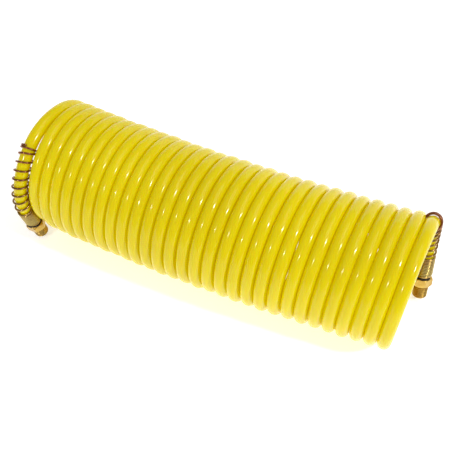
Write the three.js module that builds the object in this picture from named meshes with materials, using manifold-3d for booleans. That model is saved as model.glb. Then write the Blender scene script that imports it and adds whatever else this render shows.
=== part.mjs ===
// A coiled air hose: a nylon recoil hose wound in a close helix that lies on its side. Each end
// leaves the coil as a tail, runs through a bend-restrictor spring and ends in a swivel fitting.
// Millimetres, +Z up. The coil's axis runs along X, and the near side is -Y.
import * as THREE from 'three';
import { mergeVertices } from 'three/addons/utils/BufferGeometryUtils.js';
import Module from 'manifold-3d';

// Hose and coil.
const HOSE_RADIUS = 4.3;
const BORE_RADIUS = 3.2;
const COIL_RADIUS = 41; // from the coil's axis to the middle of the hose
const COIL_LENGTH = 244.5; // the closed coil's solid, end face to end face
const COIL_FACETS = 24;
const AXIS_HEIGHT = COIL_RADIUS + HOSE_RADIUS;
const TOUCH_GAP = 0.3; // between pieces that touch on the real object

// Tails. Angles are round the coil's axis, in degrees from the near side, upwards.
const LEFT_TAIL = {
  side: -1,
  startAngle: 128,
  springAngle: 60,
  straightAngle: -14,
  springOffset: 8.3,
  straightOffset: 9.6,
  straightRadius: 43,
  splay: -2.8,
};
const RIGHT_TAIL = {
  side: 1,
  startAngle: 38,
  springAngle: 129,
  straightAngle: 197,
  springOffset: 7.1,
  straightOffset: 9.7,
  straightRadius: 35.2,
  splay: 4.3,
};
const TAIL_STEPS = 26;
const STRAIGHT_LENGTH = 14.1; // of the hose inside the ferrule

// Bend-restrictor spring.
const WIRE_RADIUS = 0.55;
const SPRING_RADIUS = 5.4; // to the middle of the wire
const SPRING_SECTIONS = [
  { turns: 1.5, pitch: 1.4 },
  { turns: 8.5, pitch: 5.6 },
  { turns: 11.5, pitch: 1.2 },
];
const STEPS_PER_TURN = 16;

// Fitting, measured along its own axis from where the hose runs straight.
const FERRULE = { start: 0.8, end: 14.1, inner: 4.4, outer: 4.7, crimp: 0.15, rings: 3 };
const BARB = { start: 1.5, end: 12.6, crest: 2.8, root: 2.45, count: 4 };
const STEM_BORE = 1.4;
const COLLAR = { start: 14.4, end: 15.2, radius: 5.3 };
const CLIP = { start: 15.5, end: 16.3, inner: 2.5, outer: 5.85, gap: 50 };
const NECK = { radius: 2.6, clipGroove: 2.4, sealGroove: 2.0, lip: 3.0, end: 25.9 };
const SEAL = { at: 20.6, radius: 2.4, section: 0.38, groove: 1.1 };
const HEX = { start: 16.6, end: 22.8, acrossFlats: 12, chamfer: 0.75 };
const THREAD = { end: 32.8, major: 5.2, taper: 1 / 32, pitch: 0.941, depth: 0.6, relief: 0.6 };
const BODY_BORE = { neck: 2.85, front: 3.25, step: 24.6 };
const ROUND_FACETS = 24;

const wasm = await Module();
wasm.setup();

const MATERIALS = {
  nylon: new THREE.MeshStandardMaterial({ color: 0xe0c800, roughness: 0.25 }),
  spring: new THREE.MeshStandardMaterial({ color: 0xb9825a, roughness: 0.3, metalness: 1 }),
  brass: new THREE.MeshStandardMaterial({ color: 0xd9a441, roughness: 0.28, metalness: 1 }),
  ferrule: new THREE.MeshStandardMaterial({ color: 0xb8b08a, roughness: 0.35, metalness: 1 }),
  clip: new THREE.MeshStandardMaterial({ color: 0x2a2826, roughness: 0.45, metalness: 1 }),
  rubber: new THREE.MeshStandardMaterial({ color: 0x18181a, roughness: 0.7 }),
};

function smoothstep(value) {
  const t = THREE.MathUtils.clamp(value, 0, 1);
  return t * t * (3 - 2 * t);
}

// A tail's centre line: an arc round the coil's axis that drifts outwards, then a straight run. Its
// splay turns the end of the arc away from the coil's end, by so many millimetres over the arc.
class TailCurve extends THREE.Curve {
  constructor(tail) {
    super();
    this.tail = tail;
    this.turn = Math.sign(tail.straightAngle - tail.startAngle);
    this.arcLength = this.arcTo(tail.straightAngle);
    this.springStart = this.arcTo(tail.springAngle);
    this.total = this.arcLength + STRAIGHT_LENGTH;
    const end = this.onArc(this.arcLength);
    const before = this.onArc(this.arcLength - 0.01);
    this.straightStart = end;
    this.direction = end.clone().sub(before).normalize();
  }

  arcTo(angle) {
    return COIL_RADIUS * THREE.MathUtils.degToRad(Math.abs(angle - this.tail.startAngle));
  }

  onArc(distance) {
    const { side, startAngle, springOffset, straightOffset, straightRadius, splay } = this.tail;
    const angle = THREE.MathUtils.degToRad(startAngle) + (this.turn * distance) / COIL_RADIUS;
    const share = Math.max((distance - this.springStart) / (this.arcLength - this.springStart), 0);
    const guarded = smoothstep(share);
    const leaving = smoothstep(distance / this.springStart);
    const startOffset = HOSE_RADIUS + TOUCH_GAP;
    const offset = THREE.MathUtils.lerp(startOffset, springOffset, leaving)
      + (straightOffset - springOffset) * guarded + splay * (share - 1) * share * share;
    const radius = THREE.MathUtils.lerp(COIL_RADIUS, straightRadius, guarded);
    return new THREE.Vector3(
      side * (COIL_LENGTH / 2 + offset),
      -radius * Math.cos(angle),
      AXIS_HEIGHT + radius * Math.sin(angle),
    );
  }

  at(distance) {
    if (distance <= this.arcLength) {
      return this.onArc(distance);
    }
    const beyond = distance - this.arcLength;
    return this.straightStart.clone().addScaledVector(this.direction, beyond);
  }

  getPoint(t) {
    return this.at(t * this.total);
  }
}

// The middle of a spring's wire, which winds round a tail's centre line.
class SpringCurve extends THREE.Curve {
  constructor(tail) {
    super();
    this.tail = tail;
    this.turns = SPRING_SECTIONS.reduce((sum, section) => sum + section.turns, 0);
    this.arcLengthDivisions = Math.round(this.turns * 4 * STEPS_PER_TURN);
    const length = SPRING_SECTIONS.reduce((sum, { turns, pitch }) => sum + turns * pitch, 0);
    this.start = tail.arcLength + STRAIGHT_LENGTH - length - WIRE_RADIUS;
  }

  advance(turn) {
    let left = turn;
    let distance = this.start;
    for (const { turns, pitch } of SPRING_SECTIONS) {
      const used = Math.min(left, turns);
      distance += used * pitch;
      left -= used;
    }
    return distance;
  }

  getPoint(t) {
    const turn = t * this.turns;
    const distance = this.advance(turn);
    const centre = this.tail.at(distance);
    const ahead = this.tail.at(distance + 0.05).sub(centre).normalize();
    const outward = new THREE.Vector3(0, centre.y, centre.z - AXIS_HEIGHT);
    outward.addScaledVector(ahead, -outward.dot(ahead)).normalize();
    const across = new THREE.Vector3().crossVectors(ahead, outward);
    const angle = turn * 2 * Math.PI;
    return centre
      .addScaledVector(outward, SPRING_RADIUS * Math.cos(angle))
      .addScaledVector(across, SPRING_RADIUS * Math.sin(angle));
  }
}

function polygon(radius, sides) {
  const points = [];
  for (let i = 0; i < sides; i += 1) {
    const angle = (i / sides) * 2 * Math.PI;
    points.push(new THREE.Vector2(radius * Math.cos(angle), radius * Math.sin(angle)));
  }
  return points;
}

// A solid of revolution about +Z from a closed outline of [radius, height] points.
function revolve(outline, facets = ROUND_FACETS, phiStart = 0) {
  const points = [...outline, outline[0]].map(([radius, height]) => new THREE.Vector2(radius, height));
  const geometry = new THREE.LatheGeometry(points, facets, phiStart);
  return geometry.rotateX(Math.PI / 2);
}

function toManifold(geometry) {
  const bare = geometry.clone();
  bare.deleteAttribute('normal');
  bare.deleteAttribute('uv');
  const merged = mergeVertices(bare, 1e-4);
  return new wasm.Manifold(new wasm.Mesh({
    numProp: 3,
    vertProperties: new Float32Array(merged.attributes.position.array),
    triVerts: new Uint32Array(merged.index.array),
  }));
}

function toGeometry(solid) {
  const mesh = solid.getMesh();
  const geometry = new THREE.BufferGeometry();
  geometry.setAttribute('position', new THREE.BufferAttribute(mesh.vertProperties, 3));
  geometry.setIndex(new THREE.BufferAttribute(mesh.triVerts, 1));
  geometry.computeVertexNormals();
  return geometry;
}

function coilGeometry() {
  const outer = (COIL_RADIUS + HOSE_RADIUS) / Math.cos(Math.PI / COIL_FACETS);
  const inner = COIL_RADIUS - HOSE_RADIUS;
  const half = COIL_LENGTH / 2;
  const outline = [[inner, -half], [outer, -half], [outer, half], [inner, half]];
  return revolve(outline, COIL_FACETS, Math.PI / COIL_FACETS);
}

function tailGeometry(tailCurve) {
  const shape = new THREE.Shape(polygon(HOSE_RADIUS, 10));
  shape.holes.push(new THREE.Path(polygon(BORE_RADIUS, 10)));
  return new THREE.ExtrudeGeometry(shape, {
    steps: TAIL_STEPS,
    bevelEnabled: false,
    extrudePath: tailCurve,
  });
}

function springGeometry(tailCurve) {
  const wire = new SpringCurve(tailCurve);
  return new THREE.ExtrudeGeometry(new THREE.Shape(polygon(WIRE_RADIUS, 5)), {
    steps: Math.round(wire.turns * STEPS_PER_TURN),
    bevelEnabled: false,
    extrudePath: wire,
  });
}

// A thin tube with rolled crimp grooves in its outside.
function ferruleGeometry() {
  const { start, end, inner, outer, crimp, rings } = FERRULE;
  const outline = [[inner, start], [outer, start]];
  const spacing = (end - start) / (rings + 1);
  for (let i = 1; i <= rings; i += 1) {
    const middle = start + i * spacing;
    outline.push([outer, middle - 0.8], [outer - crimp, middle - 0.3]);
    outline.push([outer - crimp, middle + 0.3], [outer, middle + 0.8]);
  }
  outline.push([outer, end], [inner, end]);
  return revolve(outline);
}

// The barbed stem: barbs for the hose, a collar, a neck for the swivel body and a flared lip.
function stemGeometry() {
  const outline = [[STEM_BORE, BARB.start], [BARB.root, BARB.start]];
  const spacing = (BARB.end - BARB.start) / BARB.count;
  for (let i = 0; i < BARB.count; i += 1) {
    const foot = BARB.start + i * spacing;
    outline.push([BARB.crest, foot + spacing * 0.8], [BARB.root, foot + spacing]);
  }
  outline.push([BARB.root, COLLAR.start], [COLLAR.radius, COLLAR.start]);
  outline.push([COLLAR.radius, COLLAR.end], [NECK.clipGroove, COLLAR.end]);
  outline.push([NECK.clipGroove, CLIP.end + 0.2], [NECK.radius, CLIP.end + 0.2]);
  outline.push([NECK.radius, SEAL.at - SEAL.groove / 2], [NECK.sealGroove, SEAL.at - SEAL.groove / 2]);
  outline.push([NECK.sealGroove, SEAL.at + SEAL.groove / 2], [NECK.radius, SEAL.at + SEAL.groove / 2]);
  outline.push([NECK.radius, BODY_BORE.step + TOUCH_GAP], [NECK.lip, BODY_BORE.step + TOUCH_GAP]);
  outline.push([NECK.lip, NECK.end], [STEM_BORE, NECK.end]);
  return revolve(outline);
}

function sealGeometry() {
  return new THREE.TorusGeometry(SEAL.radius, SEAL.section, 8, ROUND_FACETS).translate(0, 0, SEAL.at);
}

// An open snap ring.
function clipGeometry() {
  const half = THREE.MathUtils.degToRad(CLIP.gap / 2);
  const shape = new THREE.Shape();
  shape.absarc(0, 0, CLIP.outer, half, 2 * Math.PI - half, false);
  shape.absarc(0, 0, CLIP.inner, 2 * Math.PI - half, half, true);
  const options = { depth: CLIP.end - CLIP.start, bevelEnabled: false, curveSegments: 16 };
  return new THREE.ExtrudeGeometry(shape, options).translate(0, 0, CLIP.start);
}

function threadRadius(height) {
  return THREAD.major - (height - HEX.end) * THREAD.taper;
}

function threadOutline() {
  const first = HEX.end + THREAD.relief;
  const count = Math.floor((THREAD.end - first) / THREAD.pitch);
  const root = threadRadius(HEX.end) - THREAD.depth;
  const outline = [[0, HEX.start + 1], [root, HEX.start + 1], [root, first]];
  for (let i = 0; i < count; i += 1) {
    const crest = first + (i + 0.5) * THREAD.pitch;
    const valley = crest + THREAD.pitch / 2;
    outline.push([threadRadius(crest), crest - 0.12], [threadRadius(crest), crest + 0.12]);
    outline.push([threadRadius(valley) - THREAD.depth, valley]);
  }
  outline.push([threadRadius(THREAD.end) - THREAD.depth, THREAD.end], [0, THREAD.end]);
  return outline;
}

// Hexagon with turned corners, male taper thread and the stepped bore for the stem.
function swivelBodyGeometry() {
  const corner = HEX.acrossFlats / 2 / Math.cos(Math.PI / 6);
  const hexagon = new THREE.ExtrudeGeometry(new THREE.Shape(polygon(corner, 6)), {
    depth: HEX.end - HEX.start,
    bevelEnabled: false,
  }).translate(0, 0, HEX.start);
  const flat = HEX.acrossFlats / 2 - 0.1;
  const turned = revolve([
    [0, HEX.start], [flat, HEX.start], [corner, HEX.start + HEX.chamfer],
    [corner, HEX.end - HEX.chamfer], [flat, HEX.end], [0, HEX.end],
  ], 2 * ROUND_FACETS);
  const bore = revolve([
    [0, HEX.start - 1], [BODY_BORE.neck, HEX.start - 1], [BODY_BORE.neck, BODY_BORE.step],
    [BODY_BORE.front, BODY_BORE.step], [BODY_BORE.front, THREAD.end + 1], [0, THREAD.end + 1],
  ]);
  const solid = toManifold(hexagon)
    .intersect(toManifold(turned))
    .add(toManifold(revolve(threadOutline())))
    .subtract(toManifold(bore));
  return toGeometry(solid);
}

function addMesh(parent, name, geometry, material) {
  const mesh = new THREE.Mesh(geometry, material);
  mesh.name = name;
  parent.add(mesh);
}

function addEnd(parent, end, tail) {
  const curve = new TailCurve(tail);
  addMesh(parent, `hose_tail_${end}`, tailGeometry(curve), MATERIALS.nylon);
  addMesh(parent, `spring_guard_${end}`, springGeometry(curve), MATERIALS.spring);
  const fitting = new THREE.Group();
  fitting.position.copy(curve.straightStart);
  fitting.quaternion.setFromUnitVectors(new THREE.Vector3(0, 0, 1), curve.direction);
  addMesh(fitting, `ferrule_${end}`, ferruleGeometry(), MATERIALS.ferrule);
  addMesh(fitting, `swivel_stem_${end}`, stemGeometry(), MATERIALS.brass);
  addMesh(fitting, `retaining_ring_${end}`, clipGeometry(), MATERIALS.clip);
  addMesh(fitting, `o_ring_${end}`, sealGeometry(), MATERIALS.rubber);
  addMesh(fitting, `swivel_body_${end}`, swivelBodyGeometry(), MATERIALS.brass);
  parent.add(fitting);
}

const group = new THREE.Group();
const coil = new THREE.Group();
coil.rotation.y = Math.PI / 2;
coil.position.z = AXIS_HEIGHT;
addMesh(coil, 'hose_coil', coilGeometry(), MATERIALS.nylon);
group.add(coil);
addEnd(group, 'left', LEFT_TAIL);
addEnd(group, 'right', RIGHT_TAIL);

// The origin is the middle of the footprint, on the surface that the hose lies on.
const box = new THREE.Box3().setFromObject(group, true);
const middle = box.getCenter(new THREE.Vector3());
group.position.set(-middle.x, -middle.y, -box.min.z);

export default group;
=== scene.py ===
# The looks of a coiled air hose, around its CAD frame. Sizes are in millimetres until a mesh is
# made, and every mesh is in metres in the CAD's own frame: +X along the coil, +Z up.
import math

import bmesh
import bpy
import numpy as np
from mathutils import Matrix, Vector


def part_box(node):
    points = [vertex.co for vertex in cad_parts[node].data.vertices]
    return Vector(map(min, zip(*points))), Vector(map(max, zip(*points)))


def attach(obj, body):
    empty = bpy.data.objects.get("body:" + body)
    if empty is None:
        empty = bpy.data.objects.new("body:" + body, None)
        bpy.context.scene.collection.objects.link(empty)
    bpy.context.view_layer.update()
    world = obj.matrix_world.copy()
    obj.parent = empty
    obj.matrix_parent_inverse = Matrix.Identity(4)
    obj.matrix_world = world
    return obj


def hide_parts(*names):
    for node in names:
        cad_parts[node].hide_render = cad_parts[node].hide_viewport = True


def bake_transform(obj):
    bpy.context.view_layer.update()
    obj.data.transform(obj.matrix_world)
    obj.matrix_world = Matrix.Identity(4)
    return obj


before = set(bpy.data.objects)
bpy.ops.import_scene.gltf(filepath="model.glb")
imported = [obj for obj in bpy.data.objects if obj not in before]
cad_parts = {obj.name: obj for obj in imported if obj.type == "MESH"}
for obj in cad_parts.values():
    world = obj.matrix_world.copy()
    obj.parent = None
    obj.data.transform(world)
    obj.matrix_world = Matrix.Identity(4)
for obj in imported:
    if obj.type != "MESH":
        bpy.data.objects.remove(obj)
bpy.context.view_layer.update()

MM = 0.001

# The hose. It is 0.1 mm thicker each side than the CAD's, so that neighbouring turns touch.
HOSE_RADIUS = 4.4
BORE_RADIUS = 3.2
COIL_LOW, COIL_HIGH = (np.array(corner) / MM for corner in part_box("hose_coil"))
COIL_RADIUS = (COIL_HIGH[2] - COIL_LOW[2]) / 2 - HOSE_RADIUS
AXIS_Y = (COIL_LOW[1] + COIL_HIGH[1]) / 2
AXIS_Z = (COIL_LOW[2] + COIL_HIGH[2]) / 2
STRAIGHT_LENGTH = 14.1

# The helix. A turn is counted from the near side's first full pass, at BASE_ANGLE round the axis.
BASE_ANGLE = 56.0
TURNS = 28
# The pitch is smaller by PITCH_WAVE at turn WAVE_MIDDLE, and larger half a wave away.
PITCH_WAVE = 0.2
WAVE_MIDDLE = 5.0
WAVE_TURNS = 30.0
# The coil's sideways bow, which fades to nothing at BOW_END of each half's length.
BOW, BOW_END = 5.3, 0.93
# The turns are uneven, except where the tails leave: size, turns to radians, and phase.
SWELLS = ((0.20, 2.31, 1.3), (0.14, 7.13, 0.4))
DRIFTS = ((0.05, 3.9, 2.0), (0.03, 9.7, 5.0))
SETTLE_START, SETTLE_TURNS = 0.1, 1.5
# The first turn gives way a little where the left fitting lies against it.
FITTING_DENT, FITTING_DENT_TURN, FITTING_DENT_WIDTH = 2.1, -0.245, 0.1
# The turns between which the coil's stretch is shared out.
STRETCH_START, STRETCH_END = -0.7, TURNS + 0.05
STEPS_PER_TURN = 72
HOSE_SIDES = 24
BORE_RINGS = 5

# Tails: angles in degrees from the near side, upwards; offsets from the coil's end faces.
LEFT_TAIL = dict(side=-1, start=128, spring=60, straight=-14, spring_offset=8.3,
                 straight_offset=9.6, straight_radius=43, splay=-2.8, face=COIL_LOW[0])
RIGHT_TAIL = dict(side=1, start=38, spring=129, straight=197, spring_offset=7.1,
                  straight_offset=9.7, straight_radius=35.2, splay=4.3, face=COIL_HIGH[0])
TAIL_START_OFFSET = HOSE_RADIUS + 0.3

# Bend-restrictor spring: turns and pitch of its end ring, open part and close part.
WIRE_RADIUS = 0.7
SPRING_RADIUS = 5.3
SPRING_SECTIONS = ((1.5, 1.4), (8.5, 5.6), (11.5, 1.2))
SPRING_STEPS = 40
PITCH_SMOOTHING = 14
WIRE_SIDES = 12
# How far the spring sits off the hose's middle at its open end, and where that fades out.
STAND_OFF, STAND_OFF_FADE = 0.4, 30.0

# The fitting along its own axis, from where the hose runs straight.
HEX_START, HEX_END, HEX_FLATS, HEX_CHAMFER = 16.6, 22.8, 12.0, 0.75
THREAD_END, THREAD_MAJOR, THREAD_TAPER = 32.8, 5.2, 1 / 32
THREAD_PITCH, THREAD_DEPTH, THREAD_RELIEF = 0.941, 0.62, 0.6
NECK_BORE, FRONT_BORE, BORE_STEP = 2.85, 3.25, 24.6
STEM_BORE = 1.4
FITTING_SIDES = 144
BARB_START, BARB_END, BARBS, BARB_CREST, BARB_ROOT = 1.5, 12.6, 4, 2.8, 2.45
COLLAR_START, COLLAR_END, COLLAR_RADIUS = 14.4, 15.2, 5.3
CLIP_GROOVE_END, CLIP_GROOVE_RADIUS, NECK_RADIUS = 16.5, 2.4, 2.6
SEAL_GROOVE_START, SEAL_GROOVE_END, SEAL_GROOVE_RADIUS = 20.05, 21.15, 2.0
LIP_START, STEM_END, LIP_RADIUS = 24.9, 25.9, 3.0

# The camera, in metres.
CAMERA_LENS = 62.8
CAMERA_LOCATION = (0.1374, -0.3040, 0.4498)
CAMERA_DIRECTION = (-0.2598, 0.5759, -0.7752)
WORLD_STRENGTH = 0.36


def smoothstep(value):
    t = np.clip(value, 0.0, 1.0)
    return t * t * (3 - 2 * t)


# ---------------------------------------------------------------- camera and lights

def look_at(obj, target):
    direction = Vector(target) - obj.location
    obj.rotation_euler = direction.to_track_quat("-Z", "Y").to_euler()


def add_camera():
    data = bpy.data.cameras.new("camera")
    data.sensor_width = 36.0
    data.lens = CAMERA_LENS
    camera = bpy.data.objects.new("camera", data)
    bpy.context.collection.objects.link(camera)
    camera.location = CAMERA_LOCATION
    look_at(camera, camera.location + Vector(CAMERA_DIRECTION))
    bpy.context.scene.camera = camera


def add_area_light(name, location, target, size, power):
    data = bpy.data.lights.new(name, "AREA")
    data.shape = "DISK"
    data.size = size
    data.energy = power
    light = bpy.data.objects.new(name, data)
    bpy.context.collection.objects.link(light)
    light.location = location
    look_at(light, target)


def add_lights():
    centre = (0.0, 0.0, AXIS_Z * MM)
    add_area_light("lamp_left", (-0.30, -0.75, 0.70), centre, 0.05, 2.2)
    add_area_light("lamp_right", (0.80, -0.14, 0.75), centre, 0.05, 4.2)
    add_area_light("softbox_top", (0.5, 0.2, 1.5), centre, 1.2, 4.5)
    world = bpy.data.worlds.new("studio")
    world.use_nodes = True
    background = world.node_tree.nodes["Background"]
    background.inputs["Color"].default_value = (1.0, 1.0, 1.0, 1.0)
    background.inputs["Strength"].default_value = WORLD_STRENGTH
    bpy.context.scene.world = world
    bpy.context.scene.view_settings.view_transform = "Standard"


# ---------------------------------------------------------------- materials

class Shader:
    """A Principled material with short calls for the node set-ups that the pieces share."""

    def __init__(self, name, **values):
        self.material = bpy.data.materials.new(name)
        self.material.use_nodes = True
        self.tree = self.material.node_tree
        self.surface = self.tree.nodes["Principled BSDF"]
        for socket, value in values.items():
            self.surface.inputs[socket.replace("_", " ")].default_value = value

    def node(self, kind, **properties):
        made = self.tree.nodes.new(kind)
        for key, value in properties.items():
            setattr(made, key, value)
        return made

    def link(self, source, target):
        self.tree.links.new(source, target)

    def position(self, scale=(1, 1, 1)):
        """The place on the piece in metres, stretched by scale."""
        coordinate = self.node("ShaderNodeTexCoord")
        mapping = self.node("ShaderNodeMapping")
        mapping.inputs["Scale"].default_value = scale
        self.link(coordinate.outputs["Object"], mapping.inputs["Vector"])
        return mapping.outputs["Vector"]

    def noise(self, scale, detail=3.0, roughness=0.5):
        noise = self.node("ShaderNodeTexNoise")
        noise.inputs["Scale"].default_value = scale
        noise.inputs["Detail"].default_value = detail
        noise.inputs["Roughness"].default_value = roughness
        self.link(self.position(), noise.inputs["Vector"])
        return noise.outputs["Fac"]

    def ramp(self, factor, *stops):
        ramp = self.node("ShaderNodeValToRGB")
        elements = ramp.color_ramp.elements
        while len(elements) < len(stops):
            elements.new(0.5)
        for element, (position, colour) in zip(elements, stops):
            element.position = position
            element.color = (*colour, 1.0)
        self.link(factor, ramp.inputs["Fac"])
        return ramp.outputs["Color"]

    def remap(self, factor, low, high):
        remap = self.node("ShaderNodeMapRange")
        remap.inputs["To Min"].default_value = low
        remap.inputs["To Max"].default_value = high
        self.link(factor, remap.inputs["Value"])
        return remap.outputs["Result"]

    def base_colour(self, colour):
        self.link(colour, self.surface.inputs["Base Color"])

    def roughness(self, value):
        self.link(value, self.surface.inputs["Roughness"])

    def bump(self, height, distance, strength=1.0, before=None):
        bump = self.node("ShaderNodeBump")
        bump.inputs["Distance"].default_value = distance
        bump.inputs["Strength"].default_value = strength
        self.link(height, bump.inputs["Height"])
        if before is not None:
            self.link(before, bump.inputs["Normal"])
        self.link(bump.outputs["Normal"], self.surface.inputs["Normal"])
        return bump.outputs["Normal"]

    def wear(self, patches, gloss, grain):
        """Uneven roughness and a fine grain. patches and grain are noise settings."""
        self.roughness(self.remap(self.noise(*patches), *gloss))
        scale, detail, strength = grain
        self.bump(self.noise(scale, detail), 0.00002, strength)
        return self.material


def nylon_material():
    # The faint glow stands for the light that passes through the translucent nylon.
    shader = Shader("hose_nylon_yellow", IOR=1.36, Subsurface_Weight=0.8, Subsurface_Scale=0.006,
                    Emission_Strength=0.16)
    shader.surface.inputs["Emission Color"].default_value = (0.95, 0.62, 0.0, 1.0)
    shader.surface.inputs["Subsurface Radius"].default_value = (1.0, 0.6, 0.05)
    tint = shader.noise(14.0, 2.0)
    shader.base_colour(shader.ramp(tint, (0.35, (0.58, 0.50, 0.0)), (0.65, (0.64, 0.56, 0.0))))
    shader.roughness(shader.remap(shader.noise(90.0, 4.0), 0.11, 0.16))
    ripple = shader.bump(shader.noise(60.0, 2.0), 0.0004, 0.35)
    shader.bump(shader.noise(900.0, 2.0), 0.00003, 0.4, before=ripple)
    return shader.material


def spring_material():
    """Plated steel wire: olive gold low down on the close turns, and rose brown further up."""
    shader = Shader("spring_yellow_zinc", Metallic=1.0)
    height = shader.node("ShaderNodeSeparateXYZ")
    shader.link(shader.position((1, 1, 11.0)), height.inputs[0])
    blend = shader.node("ShaderNodeMath", operation="MULTIPLY_ADD")
    shader.link(shader.noise(160.0, 2.0), blend.inputs[0])
    blend.inputs[1].default_value = 0.24
    shader.link(height.outputs["Z"], blend.inputs[2])
    shader.base_colour(shader.ramp(
        blend.outputs[0], (0.44, (0.44, 0.33, 0.10)), (0.54, (0.36, 0.22, 0.07)),
        (0.80, (0.20, 0.10, 0.035)), (1.0, (0.28, 0.10, 0.045)),
    ))
    return shader.wear((700.0, 3.0), (0.16, 0.34), (2600.0, 2.0, 0.5))


def brass_material(name, light, dark):
    shader = Shader(name, Metallic=1.0)
    stain = shader.noise(180.0, 4.0, roughness=0.6)
    shader.base_colour(shader.ramp(stain, (0.32, dark), (0.62, light)))
    return shader.wear((420.0, 4.0), (0.14, 0.34), (3000.0, 3.0, 0.45))


def ferrule_material():
    shader = Shader("ferrule_zinc", Metallic=1.0)
    tint = shader.noise(300.0, 3.0)
    shader.base_colour(shader.ramp(tint, (0.35, (0.46, 0.40, 0.22)), (0.65, (0.66, 0.60, 0.40))))
    return shader.wear((900.0, 3.0), (0.25, 0.42), (2400.0, 2.0, 0.5))


# Painted shade: the snap ring is near black so that it shows the shadow in the gap between the hex
# and the spring's close turns.
def shade_ring_material():
    shader = Shader("ring_painted_shade_dark", Metallic=1.0)
    tint = shader.noise(500.0, 3.0)
    shader.base_colour(shader.ramp(tint, (0.4, (0.03, 0.026, 0.024)), (0.7, (0.09, 0.075, 0.06))))
    return shader.wear((900.0, 3.0), (0.35, 0.55), (2800.0, 2.0, 0.5))


def rubber_material():
    shader = Shader("seal_rubber_black")
    tint = shader.noise(800.0, 3.0)
    shader.base_colour(shader.ramp(tint, (0.4, (0.012, 0.012, 0.013)), (0.7, (0.03, 0.03, 0.03))))
    return shader.wear((1500.0, 2.0), (0.5, 0.7), (3500.0, 2.0, 0.6))


def floor_material():
    shader = Shader("studio_floor", Emission_Strength=0.5)
    shader.surface.inputs["Emission Color"].default_value = (1.0, 1.0, 1.0, 1.0)
    shader.base_colour(shader.ramp(
        shader.noise(3.0, 2.0), (0.3, (0.93, 0.93, 0.93)), (0.7, (0.95, 0.95, 0.95))))
    shader.roughness(shader.remap(shader.noise(40.0, 2.0), 0.55, 0.65))
    return shader.material


# ---------------------------------------------------------------- mesh building

def finish_mesh(name, vertices, faces, material, sharp_angle=35.0):
    """A smooth mesh with its creases marked sharp. vertices are in millimetres."""
    mesh = bpy.data.meshes.new(name)
    mesh.from_pydata((np.asarray(vertices, float) * MM).tolist(), [], faces)
    shape = bmesh.new()
    shape.from_mesh(mesh)
    bmesh.ops.recalc_face_normals(shape, faces=shape.faces)
    limit = math.radians(sharp_angle)
    for face in shape.faces:
        face.smooth = True
    for edge in shape.edges:
        edge.smooth = not (len(edge.link_faces) == 2 and edge.calc_face_angle() > limit)
    shape.to_mesh(mesh)
    shape.free()
    mesh.materials.append(material)
    obj = bpy.data.objects.new(name, mesh)
    bpy.context.collection.objects.link(obj)
    return obj


def loft(rings, closed=False):
    """Vertices and faces through equal rings of points; open lofts get a cap at each end."""
    rings = np.asarray(rings, float)
    count, sides = rings.shape[:2]
    faces = []
    for i in range(count if closed else count - 1):
        here = i * sides
        ahead = ((i + 1) % count) * sides
        for k in range(sides):
            following = (k + 1) % sides
            faces.append((here + k, here + following, ahead + following, ahead + k))
    if not closed:
        faces.append(tuple(range(sides)))
        faces.append(tuple(range((count - 1) * sides, count * sides)))
    return rings.reshape(-1, 3), faces


def unit(vectors):
    return vectors / np.linalg.norm(vectors, axis=-1, keepdims=True)


def path_frames(points):
    """Tangent, outward and crosswise directions of a path that goes round the coil's axis."""
    tangent = unit(np.gradient(points, axis=0))
    outward = points - np.array([0.0, AXIS_Y, AXIS_Z])
    outward[:, 0] = 0.0
    outward = unit(outward - (outward * tangent).sum(1, keepdims=True) * tangent)
    return tangent, outward, np.cross(tangent, outward)


def circle_directions(sides):
    angle = np.arange(sides) * 2 * math.pi / sides
    return np.cos(angle), np.sin(angle)


# ---------------------------------------------------------------- the hose's route

def tail_profile(tail, distance):
    """Where a tail's arc is along the axis and how far it is from the axis."""
    arc = tail_arc(tail, tail["straight"])
    guard = tail_arc(tail, tail["spring"])
    share = max((distance - guard) / (arc - guard), 0.0)
    leaving = smoothstep(distance / guard)
    offset = TAIL_START_OFFSET + (tail["spring_offset"] - TAIL_START_OFFSET) * leaving
    offset += (tail["straight_offset"] - tail["spring_offset"]) * smoothstep(share)
    offset += tail["splay"] * (share - 1) * share * share
    radius = COIL_RADIUS + (tail["straight_radius"] - COIL_RADIUS) * smoothstep(share)
    return tail["face"] + tail["side"] * offset, radius


def tail_point(tail, distance):
    """A point of a tail's middle line, distance millimetres from where the tail starts."""
    turn = math.copysign(1.0, tail["straight"] - tail["start"])
    arc = tail_arc(tail, tail["straight"])
    along = min(distance, arc)
    angle = math.radians(tail["start"]) + turn * along / COIL_RADIUS
    x, radius = tail_profile(tail, along)
    point = np.array([x, AXIS_Y - radius * math.cos(angle), AXIS_Z + radius * math.sin(angle)])
    if distance > arc:
        point = point + (distance - arc) * straight_direction(tail)
    return point


def tail_arc(tail, angle):
    return COIL_RADIUS * math.radians(abs(angle - tail["start"]))


def straight_direction(tail):
    arc = tail_arc(tail, tail["straight"])
    return unit(tail_point(tail, arc) - tail_point(tail, arc - 0.01))


def turn_at(tail, angle):
    return (angle - BASE_ANGLE) / 360.0 + (TURNS if tail["side"] > 0 else -1)


def helix_x(turn):
    """How far along the axis the helix is: close near the left end and a little looser further on.
    It meets both tails where they start."""
    def wave(t):
        phase = 2 * math.pi * (t - WAVE_MIDDLE) / WAVE_TURNS
        return -PITCH_WAVE * np.sin(phase) * WAVE_TURNS / (2 * math.pi)

    first, last = turn_at(LEFT_TAIL, LEFT_TAIL["start"]), turn_at(RIGHT_TAIL, RIGHT_TAIL["start"])
    low, high = tail_profile(LEFT_TAIL, 0.0)[0], tail_profile(RIGHT_TAIL, 0.0)[0]
    pitch = (high - low - wave(last) + wave(first)) / (last - first)
    return low + pitch * (turn - first) + wave(turn) - wave(first)


def waves(turn, parts):
    return sum(size * np.sin(rate * turn + phase) for size, rate, phase in parts)


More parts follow.
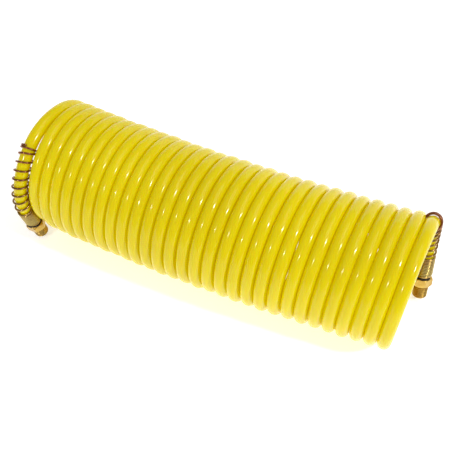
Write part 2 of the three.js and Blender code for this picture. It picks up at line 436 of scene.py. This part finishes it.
def hose_route():
    """The whole hose's middle line from the left fitting to the right one, and each point's share
    of the coil's stretch. The coil bows towards the near side, and its turns are uneven."""
    first = turn_at(LEFT_TAIL, LEFT_TAIL["straight"])
    last = turn_at(RIGHT_TAIL, RIGHT_TAIL["straight"])
    turn = np.linspace(first, last, int((last - first) * STEPS_PER_TURN))
    settled = (smoothstep((turn - SETTLE_START) / SETTLE_TURNS)
               * smoothstep((TURNS - SETTLE_START - turn) / SETTLE_TURNS))
    x = helix_x(turn) + settled * waves(turn, DRIFTS)
    dent = FITTING_DENT * np.exp(-((turn - FITTING_DENT_TURN) / FITTING_DENT_WIDTH) ** 2)
    radius = COIL_RADIUS + settled * waves(turn, SWELLS) - dent
    for tail in (LEFT_TAIL, RIGHT_TAIL):
        guard = tail_arc(tail, tail["spring"])
        distances = tail["side"] * (turn - turn_at(tail, tail["start"])) * math.tau * COIL_RADIUS
        for i in np.flatnonzero(distances > 0):
            share = smoothstep(distances[i] / guard)
            tail_x, tail_radius = tail_profile(tail, distances[i])
            x[i] += share * (tail_x - x[i])
            radius[i] += share * (tail_radius - radius[i])
    x, radius = smoothed(x), smoothed(radius)
    angle = np.radians(BASE_ANGLE + 360.0 * turn)
    middle = 2.0 * (turn - first) / (last - first) - 1.0
    middle = np.clip(middle, -BOW_END, BOW_END) / BOW_END
    bow = -BOW * (1.0 - middle * middle)
    points = np.stack([
        x, AXIS_Y + bow - radius * np.cos(angle), AXIS_Z + radius * np.sin(angle)], axis=1)
    stretch = smoothed_ramp(turn, STRETCH_START, STRETCH_END)
    steps = np.linspace(STRAIGHT_LENGTH / BORE_RINGS, STRAIGHT_LENGTH, BORE_RINGS)
    left_end = points[0] + steps[::-1, None] * straight_direction(LEFT_TAIL)
    right_end = points[-1] + steps[:, None] * straight_direction(RIGHT_TAIL)
    route = np.concatenate([left_end, points, right_end])
    stretch = np.concatenate([np.zeros(BORE_RINGS), stretch, np.ones(BORE_RINGS)])
    return route, stretch


def smoothed_ramp(turn, start, end, ease=0.75):
    """0 before start and 1 after end, with a steady rise between that eases in and out."""
    samples = np.linspace(start, end, 4001)
    rate = smoothstep((samples - start) / ease) * smoothstep((end - samples) / ease)
    total = np.concatenate([[0.0], np.cumsum((rate[1:] + rate[:-1]) / 2)])
    return np.interp(turn, samples, total / total[-1])


def smoothed(values, reach=5):
    """A running mean that keeps the two ends."""
    window = np.hanning(2 * reach + 3)[1:-1]
    window /= window.sum()
    before = 2 * values[0] - values[reach:0:-1]
    after = 2 * values[-1] - values[-2:-reach - 2:-1]
    return np.convolve(np.concatenate([before, values, after]), window, "valid")


def add_hose(material):
    route, stretch = hose_route()
    _, outward, across = path_frames(route)
    cosine, sine = circle_directions(HOSE_SIDES)
    directions = outward[:, None] * cosine[:, None] + across[:, None] * sine[:, None]

    def rings(indices, radius):
        return [route[i] + radius * directions[i] for i in indices]

    last = len(route) - 1
    left_bore = list(range(BORE_RINGS, -1, -1))
    right_bore = list(range(last, last - BORE_RINGS - 1, -1))
    outer = list(range(last + 1))
    order = left_bore + outer + right_bore
    vertices, faces = loft(rings(left_bore, BORE_RADIUS) + rings(outer, HOSE_RADIUS)
                           + rings(right_bore, BORE_RADIUS))
    hose = finish_mesh("hose", vertices, faces, material, sharp_angle=50.0)
    weights = np.repeat(stretch[order], HOSE_SIDES).astype(np.float32)
    return hose, route, weights


# ---------------------------------------------------------------- springs

def spring_travel(turn, start):
    distance = start
    left = turn
    for turns, pitch in SPRING_SECTIONS:
        used = min(left, turns)
        distance += used * pitch
        left -= used
    return distance


def spring_points(tail):
    total = sum(turns for turns, _ in SPRING_SECTIONS)
    length = sum(turns * pitch for turns, pitch in SPRING_SECTIONS)
    arc = tail_arc(tail, tail["straight"])
    start = arc + STRAIGHT_LENGTH - length - WIRE_RADIUS
    turns = np.linspace(0, total, int(total * SPRING_STEPS))
    distances = np.array([spring_travel(t, start) for t in turns])
    distances = smoothed(distances, PITCH_SMOOTHING)
    centres = np.array([tail_point(tail, d) for d in distances])
    ahead = unit(np.array([tail_point(tail, d + 0.05) for d in distances]) - centres)
    outward = centres - np.array([0.0, AXIS_Y, AXIS_Z])
    outward[:, 0] = 0.0
    outward = unit(outward - (outward * ahead).sum(1, keepdims=True) * ahead)
    across = np.cross(ahead, outward)
    angle = turns * 2 * math.pi
    stand_off = STAND_OFF * (1 - smoothstep((distances - start) / STAND_OFF_FADE))
    return (centres + outward * (stand_off + SPRING_RADIUS * np.cos(angle))[:, None]
            + across * (SPRING_RADIUS * np.sin(angle))[:, None])


def add_spring(end, tail, material):
    points = spring_points(tail)
    tangent = unit(np.gradient(points, axis=0))
    side = unit(np.cross(tangent, np.roll(tangent, -3, axis=0) - np.roll(tangent, 3, axis=0)))
    side[:4], side[-4:] = side[4], side[-5]
    up = np.cross(side, tangent)
    cosine, sine = circle_directions(WIRE_SIDES)
    ring = up[:, None] * cosine[:, None] + side[:, None] * sine[:, None]
    rings = [p + WIRE_RADIUS * r for p, r in zip(points, ring)]

    def rounded_end(index, sign):
        """Two smaller rings past an end of the wire, the nearer one first."""
        return [points[index] + WIRE_RADIUS * (sign * out * tangent[index] + reach * ring[index])
                for out, reach in ((0.225, 0.88), (0.45, 0.55))]

    vertices, faces = loft(rounded_end(0, -1)[::-1] + rings + rounded_end(-1, 1))
    return finish_mesh(f"bend_spring_{end}", vertices, faces, material, sharp_angle=60.0)


# ---------------------------------------------------------------- fittings

def fitting_axes(tail):
    origin = tail_point(tail, tail_arc(tail, tail["straight"]))
    axis = straight_direction(tail)
    across = np.array([1.0, 0.0, 0.0])
    across = unit(across - across.dot(axis) * axis)
    return origin, axis, across, np.cross(axis, across)


def turned_rings(tail, rows, sides=FITTING_SIDES):
    """Rings round the fitting's axis. A row is (height, radius), where the radius may be a
    function of the angle."""
    origin, axis, across, upright = fitting_axes(tail)
    angle = np.arange(sides) * 2 * math.pi / sides
    spokes = np.cos(angle)[:, None] * across + np.sin(angle)[:, None] * upright
    rings = []
    for height, radius in rows:
        reach = radius(angle) if callable(radius) else np.full(sides, radius)
        rings.append(origin + height * axis + reach[:, None] * spokes)
    return rings


def turned_piece(name, tail, rows, material, sides=FITTING_SIDES):
    vertices, faces = loft(turned_rings(tail, rows, sides), closed=True)
    return finish_mesh(name, vertices, faces, material, sharp_angle=28.0)


def softened(outline, bevel=0.12):
    """A closed outline of (height, radius) with each corner cut by a small bevel."""
    points = [np.array(p, float) for p in outline]
    rows = []
    for i, point in enumerate(points):
        for other in (points[i - 1], points[(i + 1) % len(points)]):
            edge = other - point
            size = np.linalg.norm(edge)
            rows.append(tuple(point + edge / size * min(bevel, 0.35 * size)))
    return rows


def hexagon_reach(angle):
    """How far a hexagon's side is from its middle, with corners at 0, 60, ... degrees."""
    sixth = math.pi / 3
    return HEX_FLATS / 2 / np.cos(np.mod(angle, sixth) - sixth / 2)


def thread_reach(height):
    """The radius of a helical taper thread, as a function of the angle."""
    def reach(angle):
        crest = THREAD_MAJOR - (height - HEX_END) * THREAD_TAPER
        phase = np.mod((height - HEX_END) / THREAD_PITCH - angle / (2 * math.pi), 1.0)
        tooth = np.clip(1.25 - 2.5 * np.abs(phase - 0.5), 0.0, 1.0)
        first = smoothstep((height - HEX_END - 0.35) / THREAD_RELIEF)
        lead = smoothstep((THREAD_END - height) / 1.1)
        shape = crest - THREAD_DEPTH * (1 - tooth * first)
        return np.minimum(shape, crest - THREAD_DEPTH * (1 - lead) * 1.05)
    return reach


def swivel_body_rows():
    corner = HEX_FLATS / 2 / math.cos(math.pi / 6)
    flat = HEX_FLATS / 2 - 0.15

    def hexed(limit):
        return lambda angle: np.minimum(hexagon_reach(angle), limit)

    rows = [(BORE_STEP, NECK_BORE), (HEX_START + 0.35, NECK_BORE), (HEX_START, NECK_BORE + 0.35)]
    rows += [(HEX_START, flat - 0.15), (HEX_START + 0.05, flat)]
    shares = [i / 5 for i in range(1, 6)]
    for share in shares:
        rows.append((HEX_START + 0.05 + HEX_CHAMFER * share, hexed(flat + (corner - flat) * share)))
    for share in reversed(shares):
        rows.append((HEX_END - 0.05 - HEX_CHAMFER * share, hexed(flat + (corner - flat) * share)))
    rows += [(HEX_END - 0.05, flat), (HEX_END, flat - 0.15)]
    rows.append((HEX_END, THREAD_MAJOR - THREAD_DEPTH))
    levels = np.arange(HEX_END + 0.1, THREAD_END - 0.05, 0.1)
    rows += [(float(level), thread_reach(float(level))) for level in levels]
    face = THREAD_MAJOR - (THREAD_END - HEX_END) * THREAD_TAPER - THREAD_DEPTH * 1.1
    rows += [(THREAD_END, face), (THREAD_END, FRONT_BORE + 0.4), (THREAD_END - 0.4, FRONT_BORE)]
    rows += [(BORE_STEP, FRONT_BORE)]
    return rows


def stem_outline():
    """Barbs, collar, clip groove, neck, seal groove and lip, round the stem's bore."""
    outline = [(BARB_START, STEM_BORE), (BARB_START, BARB_ROOT)]
    spacing = (BARB_END - BARB_START) / BARBS
    for i in range(BARBS):
        foot = BARB_START + i * spacing
        outline += [(foot + 0.8 * spacing, BARB_CREST), (foot + spacing, BARB_ROOT)]
    outline += [(COLLAR_START, BARB_ROOT), (COLLAR_START, COLLAR_RADIUS)]
    outline += [(COLLAR_END, COLLAR_RADIUS), (COLLAR_END, CLIP_GROOVE_RADIUS)]
    outline += [(CLIP_GROOVE_END, CLIP_GROOVE_RADIUS), (CLIP_GROOVE_END, NECK_RADIUS)]
    outline += [(SEAL_GROOVE_START, NECK_RADIUS), (SEAL_GROOVE_START, SEAL_GROOVE_RADIUS)]
    outline += [(SEAL_GROOVE_END, SEAL_GROOVE_RADIUS), (SEAL_GROOVE_END, NECK_RADIUS)]
    outline += [(LIP_START, NECK_RADIUS), (LIP_START, LIP_RADIUS)]
    outline += [(STEM_END, LIP_RADIUS), (STEM_END, STEM_BORE)]
    return outline


def ferrule_outline():
    start, end, inner, outer, crimp, crimps = 0.8, 14.1, 4.4, 4.7, 0.15, 3
    outline = [(start, inner), (start, outer)]
    spacing = (end - start) / (crimps + 1)
    for i in range(1, crimps + 1):
        middle = start + i * spacing
        outline += [(middle - 0.8, outer), (middle - 0.3, outer - crimp)]
        outline += [(middle + 0.3, outer - crimp), (middle + 0.8, outer)]
    outline += [(end, outer), (end, inner)]
    return outline


def add_retaining_ring(end, tail, material):
    """An open snap ring with rounded edges."""
    low, high, inner, outer, gap = 15.5, 16.3, 2.5, 5.85, 50.0
    edge = 0.15
    section = [(low, inner + edge), (low + edge, inner), (high - edge, inner),
               (high, inner + edge), (high, outer - edge), (high - edge, outer),
               (low + edge, outer), (low, outer - edge)]
    origin, axis, across, upright = fitting_axes(tail)
    rings = []
    for angle in np.radians(np.linspace(gap / 2, 360 - gap / 2, 97)):
        spoke = math.cos(angle) * across + math.sin(angle) * upright
        rings.append([origin + height * axis + radius * spoke for height, radius in section])
    vertices, faces = loft(rings)
    return finish_mesh(f"snap_ring_{end}", vertices, faces, material, sharp_angle=50.0)


def add_o_ring(end, tail, material):
    middle, radius, thickness = 20.6, 2.4, 0.38
    cosine, sine = circle_directions(16)
    rows = [(middle + thickness * s, radius + thickness * c) for c, s in zip(cosine, sine)]
    return turned_piece(f"seal_{end}", tail, rows, material, 72)


def add_end(end, tail, body, fitting_body, materials):
    """Everything that an end of the hose carries. Each piece stands for its CAD node."""
    pieces = [
        (add_spring(end, tail, materials["spring"]), "spring_guard", "spring_steel", body),
        (turned_piece(f"crimp_ferrule_{end}", tail, softened(ferrule_outline()),
                      materials["ferrule"]), "ferrule", "ferrule_steel", body),
        (turned_piece(f"barbed_stem_{end}", tail, softened(stem_outline()),
                      materials["stem"]), "swivel_stem", "stem_brass", body),
        (add_retaining_ring(end, tail, materials["ring"]), "retaining_ring", "ring_steel", body),
        (add_o_ring(end, tail, materials["rubber"]), "o_ring", "seal_rubber", body),
        (turned_piece(f"threaded_hex_{end}", tail, swivel_body_rows(), materials["body"]),
         "swivel_body", "body_brass", fitting_body),
    ]
    for piece, node, slot, rides_on in pieces:
        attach(piece, rides_on)
        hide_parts(f"{node}_{end}")
    return [piece for piece, *_ in pieces]


# ---------------------------------------------------------------- floor

def add_floor():
    half, rise, radius, drop = 2.5, 2.0, 0.8, 0.0004
    profile = [(-half, 0.0), (half, 0.0)]
    profile += [(half + radius * math.sin(a), radius * (1 - math.cos(a)))
                for a in np.linspace(0.1, math.pi / 2, 12)]
    profile.append((half + radius, rise))
    vertices = [(x / MM, y / MM, (z - drop) / MM)
                for y, z in profile for x in (-half * 2, half * 2)]
    faces = [(2 * i, 2 * i + 1, 2 * i + 3, 2 * i + 2) for i in range(len(profile) - 1)]
    floor = finish_mesh("studio_sweep", vertices, faces, floor_material(), sharp_angle=60.0)


# ---------------------------------------------------------------- the scene

add_camera()
hose, route, stretch_weights = add_hose(nylon_material())
materials = {
    "spring": spring_material(),
    "ferrule": ferrule_material(),
    "stem": brass_material("stem_brass_turned", (0.56, 0.38, 0.12), (0.42, 0.25, 0.06)),
    "body": brass_material("body_brass_turned", (0.62, 0.43, 0.11), (0.48, 0.27, 0.05)),
    "ring": shade_ring_material(),
    "rubber": rubber_material(),
}
left_pieces = add_end("left", LEFT_TAIL, "coil", "left_fitting", materials)
right_pieces = add_end("right", RIGHT_TAIL, "right_end", "right_fitting", materials)

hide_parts("hose_coil", "hose_tail_left", "hose_tail_right")
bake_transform(hose)

add_floor()
add_lights()
